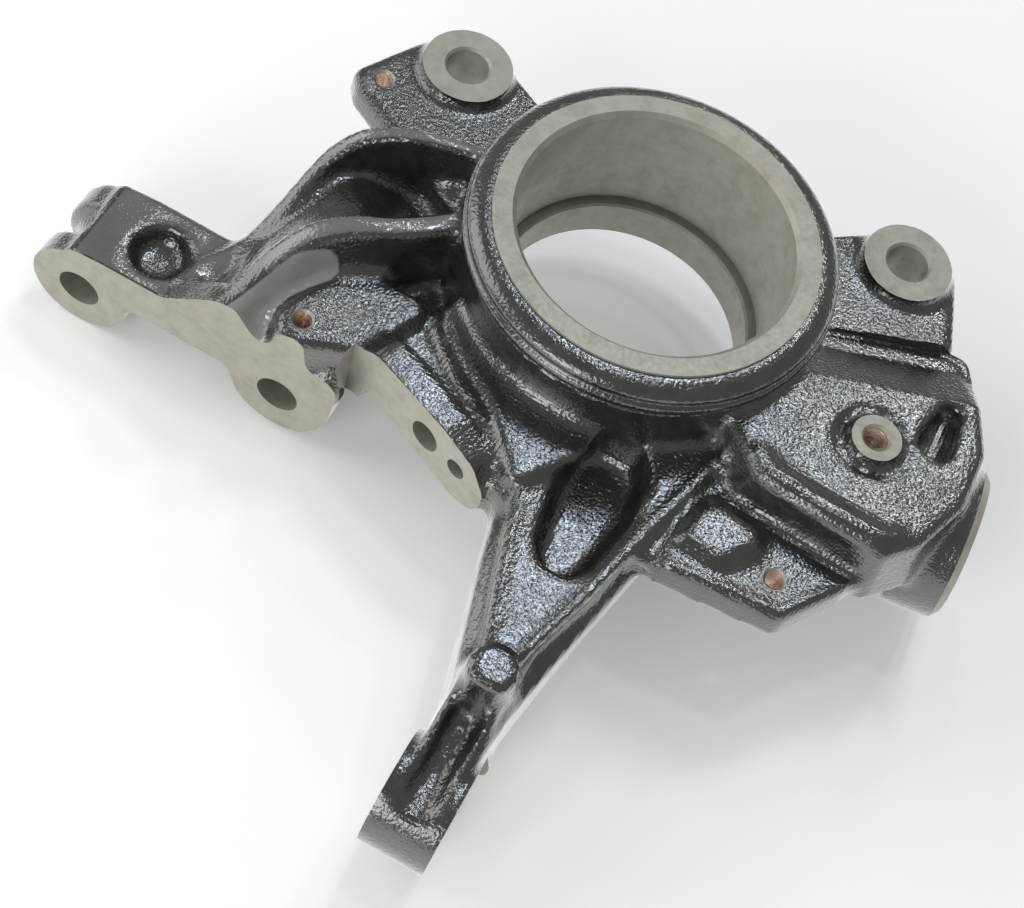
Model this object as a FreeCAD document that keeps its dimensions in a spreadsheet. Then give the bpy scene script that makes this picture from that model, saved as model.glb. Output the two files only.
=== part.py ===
import FreeCAD
import Part
import Sketcher
import os
import re

# Steering knuckle of a strut suspension, one iron casting with machined faces.
# The Z axis is the wheel bearing's axis and points out of the open mouth of the housing.
# X runs from the strut lug towards the ball joint and Y is the direction of the strut bolts.
# The origin is the middle of the bearing seat.

document = FreeCAD.newDocument("SteeringKnuckle")
sheet = document.addObject("Spreadsheet::Sheet", "Sizes")

SIZES = (
    ("seat_radius", 38, "bore that takes the wheel bearing"),
    ("seat_depth", 38, "from the machined rim to the shoulder"),
    ("rim_height", 20, "machined rim above the origin"),
    ("mouth_chamfer", 1.3, "lead-in at the mouth of the bore"),
    ("shoulder_radius", 35.5, "opening below the bearing"),
    ("undercut_width", 1.4, "relief groove in the corner of the seat"),
    ("undercut_depth", 0.7, "relief groove into the wall"),
    ("housing_height", 50, "machined rim to the bottom of the housing"),
    ("housing_wall", 11, "cast wall round the seat"),
    ("housing_draft", 2, "growth of the wall down to the parting line"),
    ("rim_wall", 6.6, "machined ring round the mouth"),
    ("rim_step", 0.9, "machined rim above the cast band"),
    ("bead_wall", 13.2, "cast bead round the mouth"),
    ("bead_drop", 4.6, "rim to the edge of the bead"),
    ("bead_width", 3, "height of the bead's edge"),
    ("parting_height", -14, "parting line of the casting"),
    ("skirt_top", -3, "upper edge of the flared foot"),
    ("plate_top", -5, "common plane of the ears and pads"),
    ("plate_thickness", 9, "ears and pads"),
    ("draft", 5, "draft angle of cast walls"),
    ("cast_edge", 2, "rounding of the upper cast edges"),
    ("cast_corner", 6, "rounding of the outline corners"),
    ("root_radius", 42, "how far members reach into the housing wall"),
    ("caliper_radius", 81, "bearing axis to the caliper bolts"),
    ("caliper_turn_a", 152.8, "direction of the upper caliper bolt"),
    ("caliper_turn_b", 38.8, "direction of the lower caliper bolt"),
    ("caliper_hole", 6.1, "radius of the caliper bolt holes"),
    ("caliper_boss", 13, "radius of the machined bosses"),
    ("boss_rise", 3, "machined boss above its ear"),
    ("ear_tip", 15.5, "ear beyond the bolt's centre"),
    ("ear_flank", 31, "width of the ear on its shield side"),
    ("shield_radius", 92.4, "bearing axis to the dust shield screws"),
    ("shield_turn_a", 167, "first dust shield screw"),
    ("shield_turn_b", 221.8, "second dust shield screw"),
    ("shield_turn_c", 318.6, "third dust shield screw"),
    ("shield_hole", 2.6, "radius of the tapped holes"),
    ("bolt_hole", 6.15, "radius of the strut bolt holes"),
    ("bolt_spacing", 62, "between the strut bolts"),
    ("bolt_x", -100.1, "middle between the strut bolts along X"),
    ("bolt_height", -36, "strut bolts below the origin"),
    ("bolt_skew", 1.1, "half the difference in height of the two bolts"),
    ("lug_face", -68, "machined front face of the strut lug"),
    ("lug_width", 25, "lug between its two faces"),
    ("lug_boss", 14.6, "radius of the lug round each bolt"),
    ("lug_top", 16, "top of the lug above the bolts"),
    ("lug_flange", 8, "thickness of each side flange of the lug"),
    ("lug_channel", 5, "depth of the channel between the flanges"),
    ("lug_peak", 10, "the lug's front face where the front rib ends in it"),
    ("lug_end", 16.3, "right end of the lug beyond its bolt"),
    ("dimple_radius", 8.8, "round dimple in the lug's top"),
    ("dimple_depth", 6, "depth of the dimple"),
    ("dimple_shift", 17, "first bolt to the dimple along X"),
    ("web_top", -14, "web under the ribs"),
    ("web_thickness", 12, "web under the ribs"),
    ("rib_turn", 225, "direction of the chord of the ribs"),
    ("rib_width", 5, "crest of the back rib"),
    ("front_rib_width", 6.4, "crest of the front rib"),
    ("rib_foot", 2, "growth of a rib at its foot"),
    ("rib_bottom", -22, "foot of the ribs"),
    ("shield_depth", 14, "depth of the tapped hole in the second pad"),
    ("pad_top", -5.5, "pad of the second dust shield screw"),
    ("bracket_turn", -20.2, "direction of the hose bracket face"),
    ("bracket_x", -51, "start of the bracket face along X"),
    ("bracket_y", -61, "start of the bracket face along Y"),
    ("bracket_length", 48, "length of the bracket face"),
    ("bracket_top", -1.5, "upper edge of the bracket face"),
    ("bracket_depth", 17, "height of the bracket face at its start"),
    ("bracket_thickness", 9, "bracket flange"),
    ("bracket_hole", 4.6, "radius of the bracket bolt hole"),
    ("bracket_pin", 3, "radius of the bracket locating hole"),
    ("bracket_hole_depth", 17, "depth of the bracket bolt hole"),
    ("bracket_pin_depth", 12, "depth of the bracket locating hole"),
    ("bracket_hole_at", 26, "start of the face to the bolt hole"),
    ("bracket_pin_at", 38, "start of the face to the locating hole"),
    ("bracket_hole_drop", 11.5, "upper edge to the middle of the holes"),
    ("panel_top", -8, "recessed panel behind the bracket flange"),
    ("arm_top", -5, "upper face of the steering arm"),
    ("arm_depth", 19, "thickness of the steering arm"),
    ("arm_ledge", 8, "upper face of the arm to the ledge along its sides"),
    ("arm_draft", 5, "draft angle of the arm's sides"),
    ("eye_x", 19, "middle of the tie-rod eye along X"),
    ("eye_reach", 151, "bearing axis to the eye along Y"),
    ("eye_height", -30, "eye below the origin"),
    ("eye_radius", 15, "outside of the eye"),
    ("eye_width", 18, "eye between its machined faces"),
    ("eye_hole_wide", 7, "taper hole at its wide end"),
    ("eye_hole_small", 6.1, "taper hole at its narrow end"),
    ("arm_waist", 11, "width of the bar above the eye"),
    ("peg_reach", 124, "bearing axis to the steering stop"),
    ("peg_radius", 6.4, "top of the steering stop"),
    ("peg_flare", 1.6, "growth of the stop at its foot"),
    ("peg_top", 0, "top of the steering stop"),
    ("peg_height", 14, "steering stop into the arm"),
    ("pocket_depth", 11, "teardrop pocket in the arm"),
    ("pocket_draft", 12, "draft angle of the pocket"),
    ("pocket_corner", 5, "rounding of the pocket's outline"),
    ("pocket_floor", 3, "rounding of the pocket's floor"),
    ("gutter_depth", 3.5, "channel between the stop and the eye"),
    ("gutter_width", 8.5, "width of that channel"),
    ("block_rise", 2.5, "raised square above the lower pad"),
    ("lower_web", -10, "web between the arm, the lower pad and the ball joint housing"),
    ("platform_top", 6, "upper face of the ball joint housing"),
    ("platform_draft", 10, "draft angle of the housing's upper part"),
    ("joint_x", 111.7, "middle of the ball joint face along X"),
    ("joint_y", -14, "middle of the ball joint face along Y"),
    ("joint_height", -19, "ball joint face below the origin"),
    ("joint_radius", 21.5, "outside of the ball joint boss"),
    ("joint_length", 16, "round part of the ball joint boss"),
    ("joint_bore", 9, "radius of the ball joint bore"),
    ("joint_bore_depth", 34, "depth of the ball joint bore"),
    ("joint_lean", 5, "tilt of the ball joint axis upwards"),
    ("joint_swing", 5.5, "turn of the ball joint axis towards Y"),
    ("sensor_x", 75.6, "speed sensor screw along X"),
    ("sensor_y", -16.1, "speed sensor screw along Y"),
    ("sensor_boss", 7, "radius of the machined sensor boss"),
    ("sensor_top", 8, "top of the sensor boss"),
    ("sensor_hole", 3.2, "radius of the tapped sensor hole"),
    ("sensor_depth", 14, "depth of the tapped sensor hole"),
    ("sensor_relief", 10.5, "radius of the hollow round the boss"),
    ("sensor_hollow", 3, "depth of the hollow round the boss"),
    ("notch_depth", 7, "wedge-shaped notch beside the sensor boss"),
)
for row, (alias, value, note) in enumerate(SIZES, start=1):
    sheet.set(f"A{row}", alias)
    sheet.set(f"B{row}", str(value))
    sheet.set(f"C{row}", note)
    sheet.setAlias(f"B{row}", alias)
document.recompute()

FUNCTIONS = ("sin", "cos", "tan")


def formula(text):
    """Point every name in a formula at its cell of the sheet."""
    def cell(word):
        name = word.group()
        return name if name in FUNCTIONS else "Sizes." + name
    return re.sub(r"[a-z]\w*", cell, str(text))


def bind(item, prop, text):
    item.setExpression(prop, formula(text))


def new_body(name, turn=None):
    """A body of the casting, turned about the bearing axis by a size of the sheet."""
    body = document.addObject("PartDesign::Body", name)
    if turn:
        body.Placement = FreeCAD.Placement(FreeCAD.Vector(), FreeCAD.Rotation(FreeCAD.Vector(0, 0, 1), 10))
        bind(body, "Placement.Rotation.Angle", turn)
    return body


def new_sketch(body, name, role, offset="0"):
    """A sketch on one of the body's origin planes, moved along that plane's normal."""
    sketch = body.newObject("Sketcher::SketchObject", name)
    plane = [item for item in body.Origin.OriginFeatures if item.Role == role][0]
    sketch.AttachmentSupport = (plane, [""])
    sketch.MapMode = "FlatFace"
    bind(sketch, "AttachmentOffset.Base.z", offset)
    return sketch


def tie_point(sketch, item, point, across, up):
    """Hold one point of a sketch at two formulas."""
    for kind, text in (("DistanceX", across), ("DistanceY", up)):
        index = sketch.addConstraint(Sketcher.Constraint(kind, -1, 1, item, point, 1.0))
        sketch.setExpression(f"Constraints[{index}]", formula(text))


def draw_outline(sketch, corners):
    """A closed outline of straight lines through the given corners."""
    count = len(corners)
    start = [FreeCAD.Vector(index, index * index, 0) for index in range(count)]
    for index in range(count):
        sketch.addGeometry(Part.LineSegment(start[index], start[(index + 1) % count]))
    for index in range(count):
        sketch.addConstraint(Sketcher.Constraint("Coincident", index, 2, (index + 1) % count, 1))
    for index, (across, up) in enumerate(corners):
        tie_point(sketch, index, 1, across, up)


def draw_circle(sketch, across, up, radius):
    item = sketch.addGeometry(Part.Circle(FreeCAD.Vector(1, 1, 0), FreeCAD.Vector(0, 0, 1), 2))
    tie_point(sketch, item, 3, across, up)
    index = sketch.addConstraint(Sketcher.Constraint("Radius", item, 2.0))
    sketch.setExpression(f"Constraints[{index}]", formula(radius))


def add_pad(body, sketch, length, down=False, taper=None):
    pad = body.newObject("PartDesign::Pad", sketch.Name + "Pad")
    pad.Profile = sketch
    pad.Reversed = down
    bind(pad, "Length", length)
    if taper:
        bind(pad, "TaperAngle", taper)
    document.recompute()
    return pad


def add_loft(body, sketches, ruled=False):
    loft = body.newObject("PartDesign::AdditiveLoft", sketches[0].Name + "Loft")
    loft.Profile = sketches[0]
    loft.Sections = sketches[1:]
    loft.Ruled = ruled
    document.recompute()
    return loft


def add_fillet(body, base, test, radius):
    """Round the edges of the last feature that pass the test."""
    names = [f"Edge{number}" for number, edge in enumerate(base.Shape.Edges, start=1) if test(edge)]
    fillet = body.newObject("PartDesign::Fillet", base.Name + "Fillet")
    fillet.Base = (base, names)
    bind(fillet, "Radius", radius)
    document.recompute()
    return fillet


def is_upright(edge):
    """A straight edge that climbs from one level to another."""
    first, last = edge.Vertexes[0].Point, edge.Vertexes[-1].Point
    rise = abs(first.z - last.z)
    return rise > 2 and rise > 0.8 * edge.Length


def is_at(level):
    """Test for edges that lie at one level."""
    def test(edge):
        return all(abs(vertex.Z - level) < 0.01 for vertex in edge.Vertexes)
    return test


def drafted_plate(name, corners, top, depth, turn=None, taper="draft", corner="cast_corner"):
    """A cast plate: outline at its top, growing downwards, with rounded corners and upper edge."""
    body = new_body(name, turn)
    sketch = new_sketch(body, name + "Outline", "XY_Plane", top)
    draw_outline(sketch, corners)
    pad = add_pad(body, sketch, depth, True, taper)
    rounded = add_fillet(body, pad, is_upright, corner)
    level = max(vertex.Z for vertex in rounded.Shape.Vertexes)
    add_fillet(body, rounded, is_at(level), "cast_edge")
    return body


def cylinder(name, radius, height, place, axis=(0, 0, 1), angle=0):
    """A cylinder with its base at a place given by formulas, turned from Z about an axis."""
    item = document.addObject("Part::Cylinder", name)
    bind(item, "Radius", radius)
    bind(item, "Height", height)
    item.Placement = FreeCAD.Placement(FreeCAD.Vector(), FreeCAD.Rotation(FreeCAD.Vector(*axis), angle))
    for direction, text in zip("xyz", place):
        bind(item, f"Placement.Base.{direction}", text)
    return item


def polar(radius, turn):
    return (f"{radius} * cos({turn})", f"{radius} * sin({turn})")


# Bearing housing: a turned profile with the bead round its mouth and a drafted wall.
housing = new_body("Housing")
profile = new_sketch(housing, "HousingProfile", "XZ_Plane")
draw_outline(profile, (
    ("0", "rim_height"),
    ("seat_radius + rim_wall", "rim_height"),
    ("seat_radius + rim_wall", "rim_height - rim_step"),
    ("seat_radius + bead_wall", "rim_height - bead_drop"),
    ("seat_radius + bead_wall", "rim_height - bead_drop - bead_width"),
    ("seat_radius + housing_wall", "rim_height - bead_drop - 2 * bead_width"),
    ("seat_radius + housing_wall + housing_draft", "parting_height"),
    ("seat_radius + housing_wall", "rim_height - housing_height"),
    ("0", "rim_height - housing_height"),
))
turning = housing.newObject("PartDesign::Revolution", "HousingTurning")
turning.Profile = profile
turning.ReferenceAxis = (profile, ["V_Axis"])
turning.Angle = 360
document.recompute()

# Flared foot of the housing between the pads and the steering arm.
skirt = drafted_plate("Skirt", (
    ("-40", "-38"),
    ("-37", "-44.5"),
    ("-26", "-53"),
    ("-16", "-58.5"),
    ("-8.5", "-65"),
    ("-2", "-75"),
    ("2", "-73"),
    ("12", "-58"),
    ("14", "-30"),
    ("-36", "-28"),
), "skirt_top", "skirt_top - parting_height", corner="cast_corner / 3")


def caliper_ear(name, turn, side, slant):
    """Ear in the frame of its bolt: X runs out to the bolt, and the shield flank lies on one side."""
    body = drafted_plate(name, (
        ("root_radius", f"{-side} * caliper_boss"),
        ("caliper_radius + 2", f"{-side} * caliper_boss"),
        ("caliper_radius + ear_tip", f"{side} * 4"),
        (f"caliper_radius + ear_tip - {slant}", f"{side} * (ear_flank - 3)"),
        (f"caliper_radius + ear_tip - 6 - {slant}", f"{side} * ear_flank"),
        ("root_radius", f"{side} * ear_flank"),
    ), "plate_top", "plate_thickness", turn, corner="cast_corner / 2")
    boss = new_sketch(body, name + "BossCircle", "XY_Plane", "plate_top + boss_rise")
    draw_circle(boss, "caliper_radius", "0", "caliper_boss")
    add_pad(body, boss, "plate_thickness + 2 * boss_rise", True)
    return body


upper_ear = caliper_ear("UpperEar", "caliper_turn_a", 1, 0)
lower_ear = caliper_ear("LowerEar", "caliper_turn_b", -1, 9)

# Strut lug: two flanges round the bolts and a narrower core between them.
BOLT_A = ("bolt_x - bolt_spacing / 2", "bolt_height - bolt_skew")
BOLT_B = ("bolt_x + bolt_spacing / 2", "bolt_height + bolt_skew")


def lug_layer(name, inset, start, width, peak="0"):
    """A slice of the lug along Y, its outline drawn in by the inset and raised to the peak of a rib."""
    body = new_body(name)
    outline = new_sketch(body, name + "Outline", "XZ_Plane", f"-(lug_face + {start})")
    draw_outline(outline, (
        ("bolt_x - bolt_spacing / 2 - 4", "bolt_height + lug_top - 1"),
        ("bolt_x - bolt_spacing / 2 + 8", "bolt_height + lug_top"),
        ("bolt_x - 6", "bolt_height + lug_top"),
        ("bolt_x + 7.7", f"bolt_height + lug_top + 1 + {peak}"),
        ("bolt_x + 11", f"bolt_height + lug_top + 1 + {peak} / 2"),
        ("bolt_x + bolt_spacing / 2 + lug_end - 3", "bolt_height + lug_top + 2"),
        (f"bolt_x + bolt_spacing / 2 + lug_end - {inset}", "bolt_height + lug_top"),
        (f"bolt_x + bolt_spacing / 2 + lug_end - {inset} - 1", "bolt_height"),
        (f"bolt_x + bolt_spacing / 2 + 7", f"bolt_height - lug_boss + 2 + {inset}"),
        ("bolt_x + bolt_spacing / 2", "bolt_height - 4"),
        ("bolt_x + bolt_spacing / 2 - 12", f"bolt_height + 1.5 + {inset}"),
        ("bolt_x - bolt_spacing / 2 + 12", f"bolt_height + 1.5 + {inset}"),
        ("bolt_x - bolt_spacing / 2", "bolt_height - 4"),
    ))
    add_pad(body, outline, width, True)
    for index, (across, up) in enumerate((BOLT_A, BOLT_B)):
        ring = new_sketch(body, f"{name}Boss{index + 1}", "XZ_Plane", f"-(lug_face + {start})")
        draw_circle(ring, across, up, f"lug_boss - {inset}")
        add_pad(body, ring, width, True)
    return body


lug_front = lug_layer("LugFront", "0", "0", "lug_flange", "lug_peak")
lug_core = lug_layer("LugCore", "lug_channel", "lug_flange / 2", "lug_width - lug_flange")
lug_back = lug_layer("LugBack", "0", "lug_width - lug_flange", "lug_flange")

# Web that ties the lug and the ribs to the housing.
strut_web = drafted_plate("StrutWeb", (
    ("-root_radius + 4", "8"),
    ("-72", "4"),
    ("-88", "-12"),
    ("-94", "-44"),
    ("-92", "lug_face + 1"),
    ("-54", "lug_face + 1"),
    ("-38", "-48"),
    ("-30", "-32"),
), "web_top", "web_thickness")

# Two arched ribs and the saddle between them, lofted along their chord.
# Each station gives the way along the chord, then side offset and crest height of
# the back rib and of the front rib, how far the front rib's foot stands out, and the
# depth of the saddle below the crests, which is deep beside the housing.
RIB_STATIONS = (
    (27, -35.4, 8, -19.5, 7, 2, 25),
    (38, -42.2, 8, -19.8, 7.3, 2, 25),
    (48, -47.7, 8, -20, 7.5, 2, 22),
    (55, -51.0, 6.8, -20, 8, 2, 18),
    (62, -53.4, 4.5, -20.5, 8, 3, 13),
    (68, -53.4, 1.5, -21.7, 7.9, 4, 9),
    (73, -52.3, -2, -23.3, 7.5, 6, 7),
    (79, -48.8, -5.6, -24.6, 6.4, 8, 6),
    (85, -44.7, -9.3, -25.2, 4.7, 10, 5),
    (91, -41, -12.8, -24.2, 2.0, 12, 4),
    (97, -37.5, -16, -22.5, -1.2, 14, 4),
    (102, -35.5, -17.2, -19.8, -4, 13, 4),
    (108, -34, -18, -16.5, -7, 12, 4),
    (118, -32, -18, -9, -11, 9, 4),
)


def rib_loft(name, section):
    """Loft through one section per station, each a closed outline across the chord."""
    body = new_body(name, "rib_turn")
    sketches = []
    for index, station in enumerate(RIB_STATIONS):
        sketch = new_sketch(body, f"{name}Section{index + 1}", "YZ_Plane", str(station[0]))
        draw_outline(sketch, section(*station[1:]))
        sketches.append(sketch)
    add_loft(body, sketches, True)
    return body


def back_section(back, back_top, front, front_top, foot, drop):
    half = "rib_width / 2 / cos(25)"
    return (
        (f"{back} - {half}", f"{back_top}"),
        (f"{back} + {half}", f"{back_top}"),
        (f"{back} + {half} + rib_foot", "rib_bottom"),
        (f"{back} - {half} - rib_foot", "rib_bottom"),
    )


def front_section(back, back_top, front, front_top, foot, drop):
    half = "front_rib_width / 2"
    return (
        (f"{front} - {half}", f"{front_top}"),
        (f"{front} + {half}", f"{front_top}"),
        (f"{front} + {half} + {foot}", "rib_bottom"),
        (f"{front} - {half} - rib_foot", "rib_bottom"),
    )


def saddle_section(back, back_top, front, front_top, foot, drop):
    return (
        (f"{back}", f"{back_top} - {drop}"),
        (f"{front}", f"{front_top} - {drop}"),
        (f"{front}", "web_top - web_thickness - 4"),
        (f"{back}", "web_top - web_thickness - 4"),
    )


back_rib = rib_loft("BackRib", back_section)
front_rib = rib_loft("FrontRib", front_section)
saddle = rib_loft("Saddle", saddle_section)

# Pad of the second dust shield screw.
pad = drafted_plate("ShieldPad", (
    ("-75.5", "-62"),
    ("-73.5", "-67.5"),
    ("-68", "-69.5"),
    ("-60", "-65.5"),
    ("-51.7", "-61.9"),
    ("-42.5", "-42"),
    ("-45.3", "-37.5"),
    ("-68.7", "-38.5"),
    ("-69.5", "-46"),
    ("-74.4", "-57"),
), "pad_top", "pad_top - web_top + 3", corner="cast_corner / 3")

# Hose bracket flange, in the frame of its machined face.
bracket = document.addObject("PartDesign::Body", "Bracket")
bracket.Placement = FreeCAD.Placement(FreeCAD.Vector(), FreeCAD.Rotation(FreeCAD.Vector(0, 0, 1), -10))
bind(bracket, "Placement.Rotation.Angle", "bracket_turn")
bind(bracket, "Placement.Base.x", "bracket_x")
bind(bracket, "Placement.Base.y", "bracket_y")
face = new_sketch(bracket, "BracketFace", "XZ_Plane")
draw_outline(face, (
    ("0", "bracket_top - 3"),
    ("5", "bracket_top"),
    ("bracket_length - 17", "bracket_top - 1"),
    ("bracket_length - 5", "bracket_top - 4"),
    ("bracket_length", "bracket_top - 11"),
    ("bracket_length - 1", "bracket_top - 21"),
    ("bracket_length - 8", "bracket_top - 23.5"),
    ("1", "bracket_top - bracket_depth"),
))
face_pad = add_pad(bracket, face, "bracket_thickness", True)
add_fillet(bracket, face_pad, lambda edge: abs(edge.Vertexes[0].Y - edge.Vertexes[-1].Y) > 2, "2")

# Recessed panel between the bracket flange, the housing and the steering arm.
panel = drafted_plate("Panel", (
    ("-48", "-55"),
    ("-46", "-60"),
    ("-8", "-74"),
    ("4", "-80"),
    ("16", "-60"),
    ("-10", "-36"),
    ("-40", "-34"),
), "panel_top", "panel_top - web_top + 6")

# Steering arm: its outline from above and its side view, both as prisms, and what they share.
arm_plan = new_body("ArmPlan")
arm_outline = new_sketch(arm_plan, "ArmOutline", "XY_Plane", "arm_top")
draw_outline(arm_outline, (
    ("-8", "-30"),
    ("-9", "-54"),
    ("0", "-67"),
    ("4", "-86"),
    ("eye_x - arm_waist / 2", "-peg_reach + 8"),
    ("eye_x - arm_waist / 2", "-eye_reach - eye_radius - 1"),
    ("eye_x + arm_waist / 2", "-eye_reach - eye_radius - 1"),
    ("eye_x + arm_waist / 2", "-peg_reach + 13"),
    ("31", "-90"),
    ("36.8", "-56"),
    ("44.5", "-30"),
))
add_pad(arm_plan, arm_outline, "eye_radius - eye_height + 10", True, "arm_draft")
arm_foot = new_body("ArmFoot")
foot_outline = new_sketch(arm_foot, "ArmFootOutline", "XY_Plane", "arm_top - arm_ledge")
draw_outline(foot_outline, (
    ("-8", "-30"),
    ("-8", "-54"),
    ("-3", "-70"),
    ("2", "-92"),
    ("eye_x - arm_waist / 2 - 1.5", "-peg_reach - 4"),
    ("eye_x - arm_waist / 2 - 0.5", "-eye_reach - eye_radius - 1"),
    ("eye_x + arm_waist / 2 + 0.5", "-eye_reach - eye_radius - 1"),
    ("eye_x + arm_waist / 2 + 3.5", "-peg_reach - 3"),
    ("eye_x + arm_waist / 2 + 6.5", "-peg_reach + 14"),
    ("36", "-84"),
    ("41", "-58"),
    ("44.5", "-30"),
))
add_pad(arm_foot, foot_outline, "eye_radius - eye_height + 10", True, "arm_draft / 2")
arm_side = new_body("ArmSide")
side_outline = new_sketch(arm_side, "ArmSideOutline", "YZ_Plane", "-20")
draw_outline(side_outline, (
    ("-30", "arm_top"),
    ("-peg_reach + 9", "arm_top"),
    ("-peg_reach - 2", "arm_top - 4"),
    ("-eye_reach + 4", "eye_height + eye_radius"),
    ("-eye_reach", "eye_height"),
    ("-eye_reach + 7", "eye_height - eye_radius + 2"),
    ("-peg_reach", "arm_top - arm_depth - 7"),
    ("-peg_reach + 26", "arm_top - arm_depth"),
    ("-30", "arm_top - arm_depth"),
))
add_pad(arm_side, side_outline, "80")
arm_outlines = document.addObject("Part::MultiFuse", "ArmOutlines")
arm_outlines.Shapes = [arm_plan, arm_foot]
arm = document.addObject("Part::MultiCommon", "Arm")
arm.Shapes = [arm_outlines, arm_side]

# Tie-rod eye across the end of the arm.
eye = cylinder("Eye", "eye_radius", "eye_width",
               ("eye_x - eye_width / 2", "-eye_reach", "eye_height"), (0, 1, 0), 90)

# Steering stop: a drafted peg on the arm.
peg = document.addObject("Part::Cone", "SteeringStop")
bind(peg, "Radius1", "peg_radius + peg_flare")
bind(peg, "Radius2", "peg_radius")
bind(peg, "Height", "peg_height")
bind(peg, "Placement.Base.x", "eye_x")
bind(peg, "Placement.Base.y", "-peg_reach")
bind(peg, "Placement.Base.z", "peg_top - peg_height")

# Lower pad with the third dust shield screw.
lower_pad = drafted_plate("LowerPad", (
    ("40", "-74.5"),
    ("57", "-72.8"),
    ("75.4", "-71"),
    ("88.5", "-51"),
    ("66", "-48.1"),
    ("47", "-46"),
    ("41.5", "-53"),
), "plate_top", "plate_thickness", corner="cast_corner / 2")
lower_web = drafted_plate("LowerWeb", (
    ("28", "-30"),
    ("30", "-77"),
    ("42", "-74"),
    ("75", "-69"),
    ("91", "-48"),
    ("92", "-36"),
    ("46", "-26"),
), "lower_web", "plate_top - plate_thickness - lower_web", corner="cast_corner / 3")
block = drafted_plate("RaisedSquare", (
    ("44.5", "-51.5"),
    ("61.5", "-52"),
    ("62", "-57"),
    ("55.5", "-66"),
    ("43", "-64"),
), "plate_top + block_rise", "block_rise + 3", taper="15", corner="cast_corner / 2")

# Ball joint housing: the raised platform, the tapering body below it and the round boss.
platform = drafted_plate("Platform", (
    ("40", "6"),
    ("54", "14"),
    ("82", "25.5"),
    ("89", "26"),
    ("96", "14.5"),
    ("103.5", "-1.5"),
    ("104", "-20"),
    ("98", "-37"),
    ("90.5", "-46"),
    ("51.5", "-43"),
    ("45", "-36"),
    ("38", "-30"),
), "platform_top", "platform_top - parting_height", taper="platform_draft", corner="cast_corner / 2")

JOINT_HALF = "joint_radius * 0.98"
neck = new_body("JointNeck")
root = new_sketch(neck, "NeckRoot", "YZ_Plane", "root_radius")
draw_outline(root, (
    ("joint_y - 26", "platform_top - 6"),
    ("joint_y - 16", "platform_top - 3"),
    ("joint_y + 20", "platform_top - 3"),
    ("joint_y + 28", "platform_top - 8"),
    ("joint_y + 26", "rim_height - housing_height + 8"),
    ("joint_y + 18", "rim_height - housing_height + 1"),
    ("joint_y - 18", "rim_height - housing_height + 1"),
    ("joint_y - 28", "rim_height - housing_height + 8"),
))
tip = new_sketch(neck, "NeckTip", "YZ_Plane", "joint_x - joint_length + 4")
draw_outline(tip, tuple(
    (f"joint_y + {JOINT_HALF} * {across}", f"joint_height + {JOINT_HALF} * {up}")
    for across, up in ((-0.92, 0.38), (-0.38, 0.92), (0.38, 0.92), (0.92, 0.38),
                       (0.92, -0.38), (0.38, -0.92), (-0.38, -0.92), (-0.92, -0.38))
))
add_loft(neck, [root, tip], True)


def joint_turn(item):
    """Lay an item along the tilted ball joint axis, with its end at the machined face."""
    lean = FreeCAD.Rotation(FreeCAD.Vector(0, 1, 0), -sheet.joint_lean)
    swing = FreeCAD.Rotation(FreeCAD.Vector(0, 0, 1), sheet.joint_swing)
    flat = FreeCAD.Rotation(FreeCAD.Vector(0, 1, 0), -90)
    item.Placement.Rotation = swing.multiply(lean).multiply(flat)


joint_boss = cylinder("JointBoss", "joint_radius", "joint_length", ("joint_x", "joint_y", "joint_height"))
joint_turn(joint_boss)
joint_bore = cylinder("JointBore", "joint_bore", "joint_bore_depth", ("joint_x", "joint_y", "joint_height"))
joint_turn(joint_bore)

sensor_boss = cylinder("SensorBoss", "sensor_boss", "sensor_top + 10", ("sensor_x", "sensor_y", "-10"))
sensor_hollow = cylinder("SensorHollow", "sensor_relief", "sensor_hollow + 5",
                         ("sensor_x", "sensor_y", "platform_top - sensor_hollow"))

# Hollows of the casting: the pocket of the arm, the notch, the dimple and the gutter.
def hollow(name, corners, top, depth, taper, corner, floor):
    """The room of a drafted pocket: outline at its mouth, shrinking downwards, with a rounded floor."""
    body = new_body(name)
    sketch = new_sketch(body, name + "Outline", "XY_Plane", top)
    draw_outline(sketch, corners)
    block = add_pad(body, sketch, depth, True, f"-({taper})")
    rounded = add_fillet(body, block, is_upright, corner)
    level = min(vertex.Z for vertex in rounded.Shape.Vertexes)
    add_fillet(body, rounded, is_at(level), floor)
    return body


arm_pocket = hollow("ArmPocket", (
    ("12", "-45"),
    ("8", "-52"),
    ("8", "-66"),
    ("11", "-84"),
    ("15.5", "-90.5"),
    ("24", "-90.5"),
    ("28", "-84"),
    ("31", "-66"),
    ("30", "-52"),
    ("26", "-45"),
), "arm_top", "pocket_depth", "pocket_draft", "pocket_corner", "pocket_floor")

notch = hollow("Notch", (
    ("85", "-9"),
    ("88", "7"),
    ("93.5", "9"),
    ("95.5", "-8"),
    ("94", "-12"),
), "platform_top", "notch_depth", "draft", "0.8", "0.8")

dimple = document.addObject("Part::Cone", "Dimple")
bind(dimple, "Radius1", "dimple_radius - 2.5")
bind(dimple, "Radius2", "dimple_radius + 1")
bind(dimple, "Height", "dimple_depth + 3")
bind(dimple, "Placement.Base.x", "bolt_x - bolt_spacing / 2 + dimple_shift")
bind(dimple, "Placement.Base.y", "lug_face + lug_width / 2")
bind(dimple, "Placement.Base.z", "bolt_height + lug_top - dimple_depth")

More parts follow.
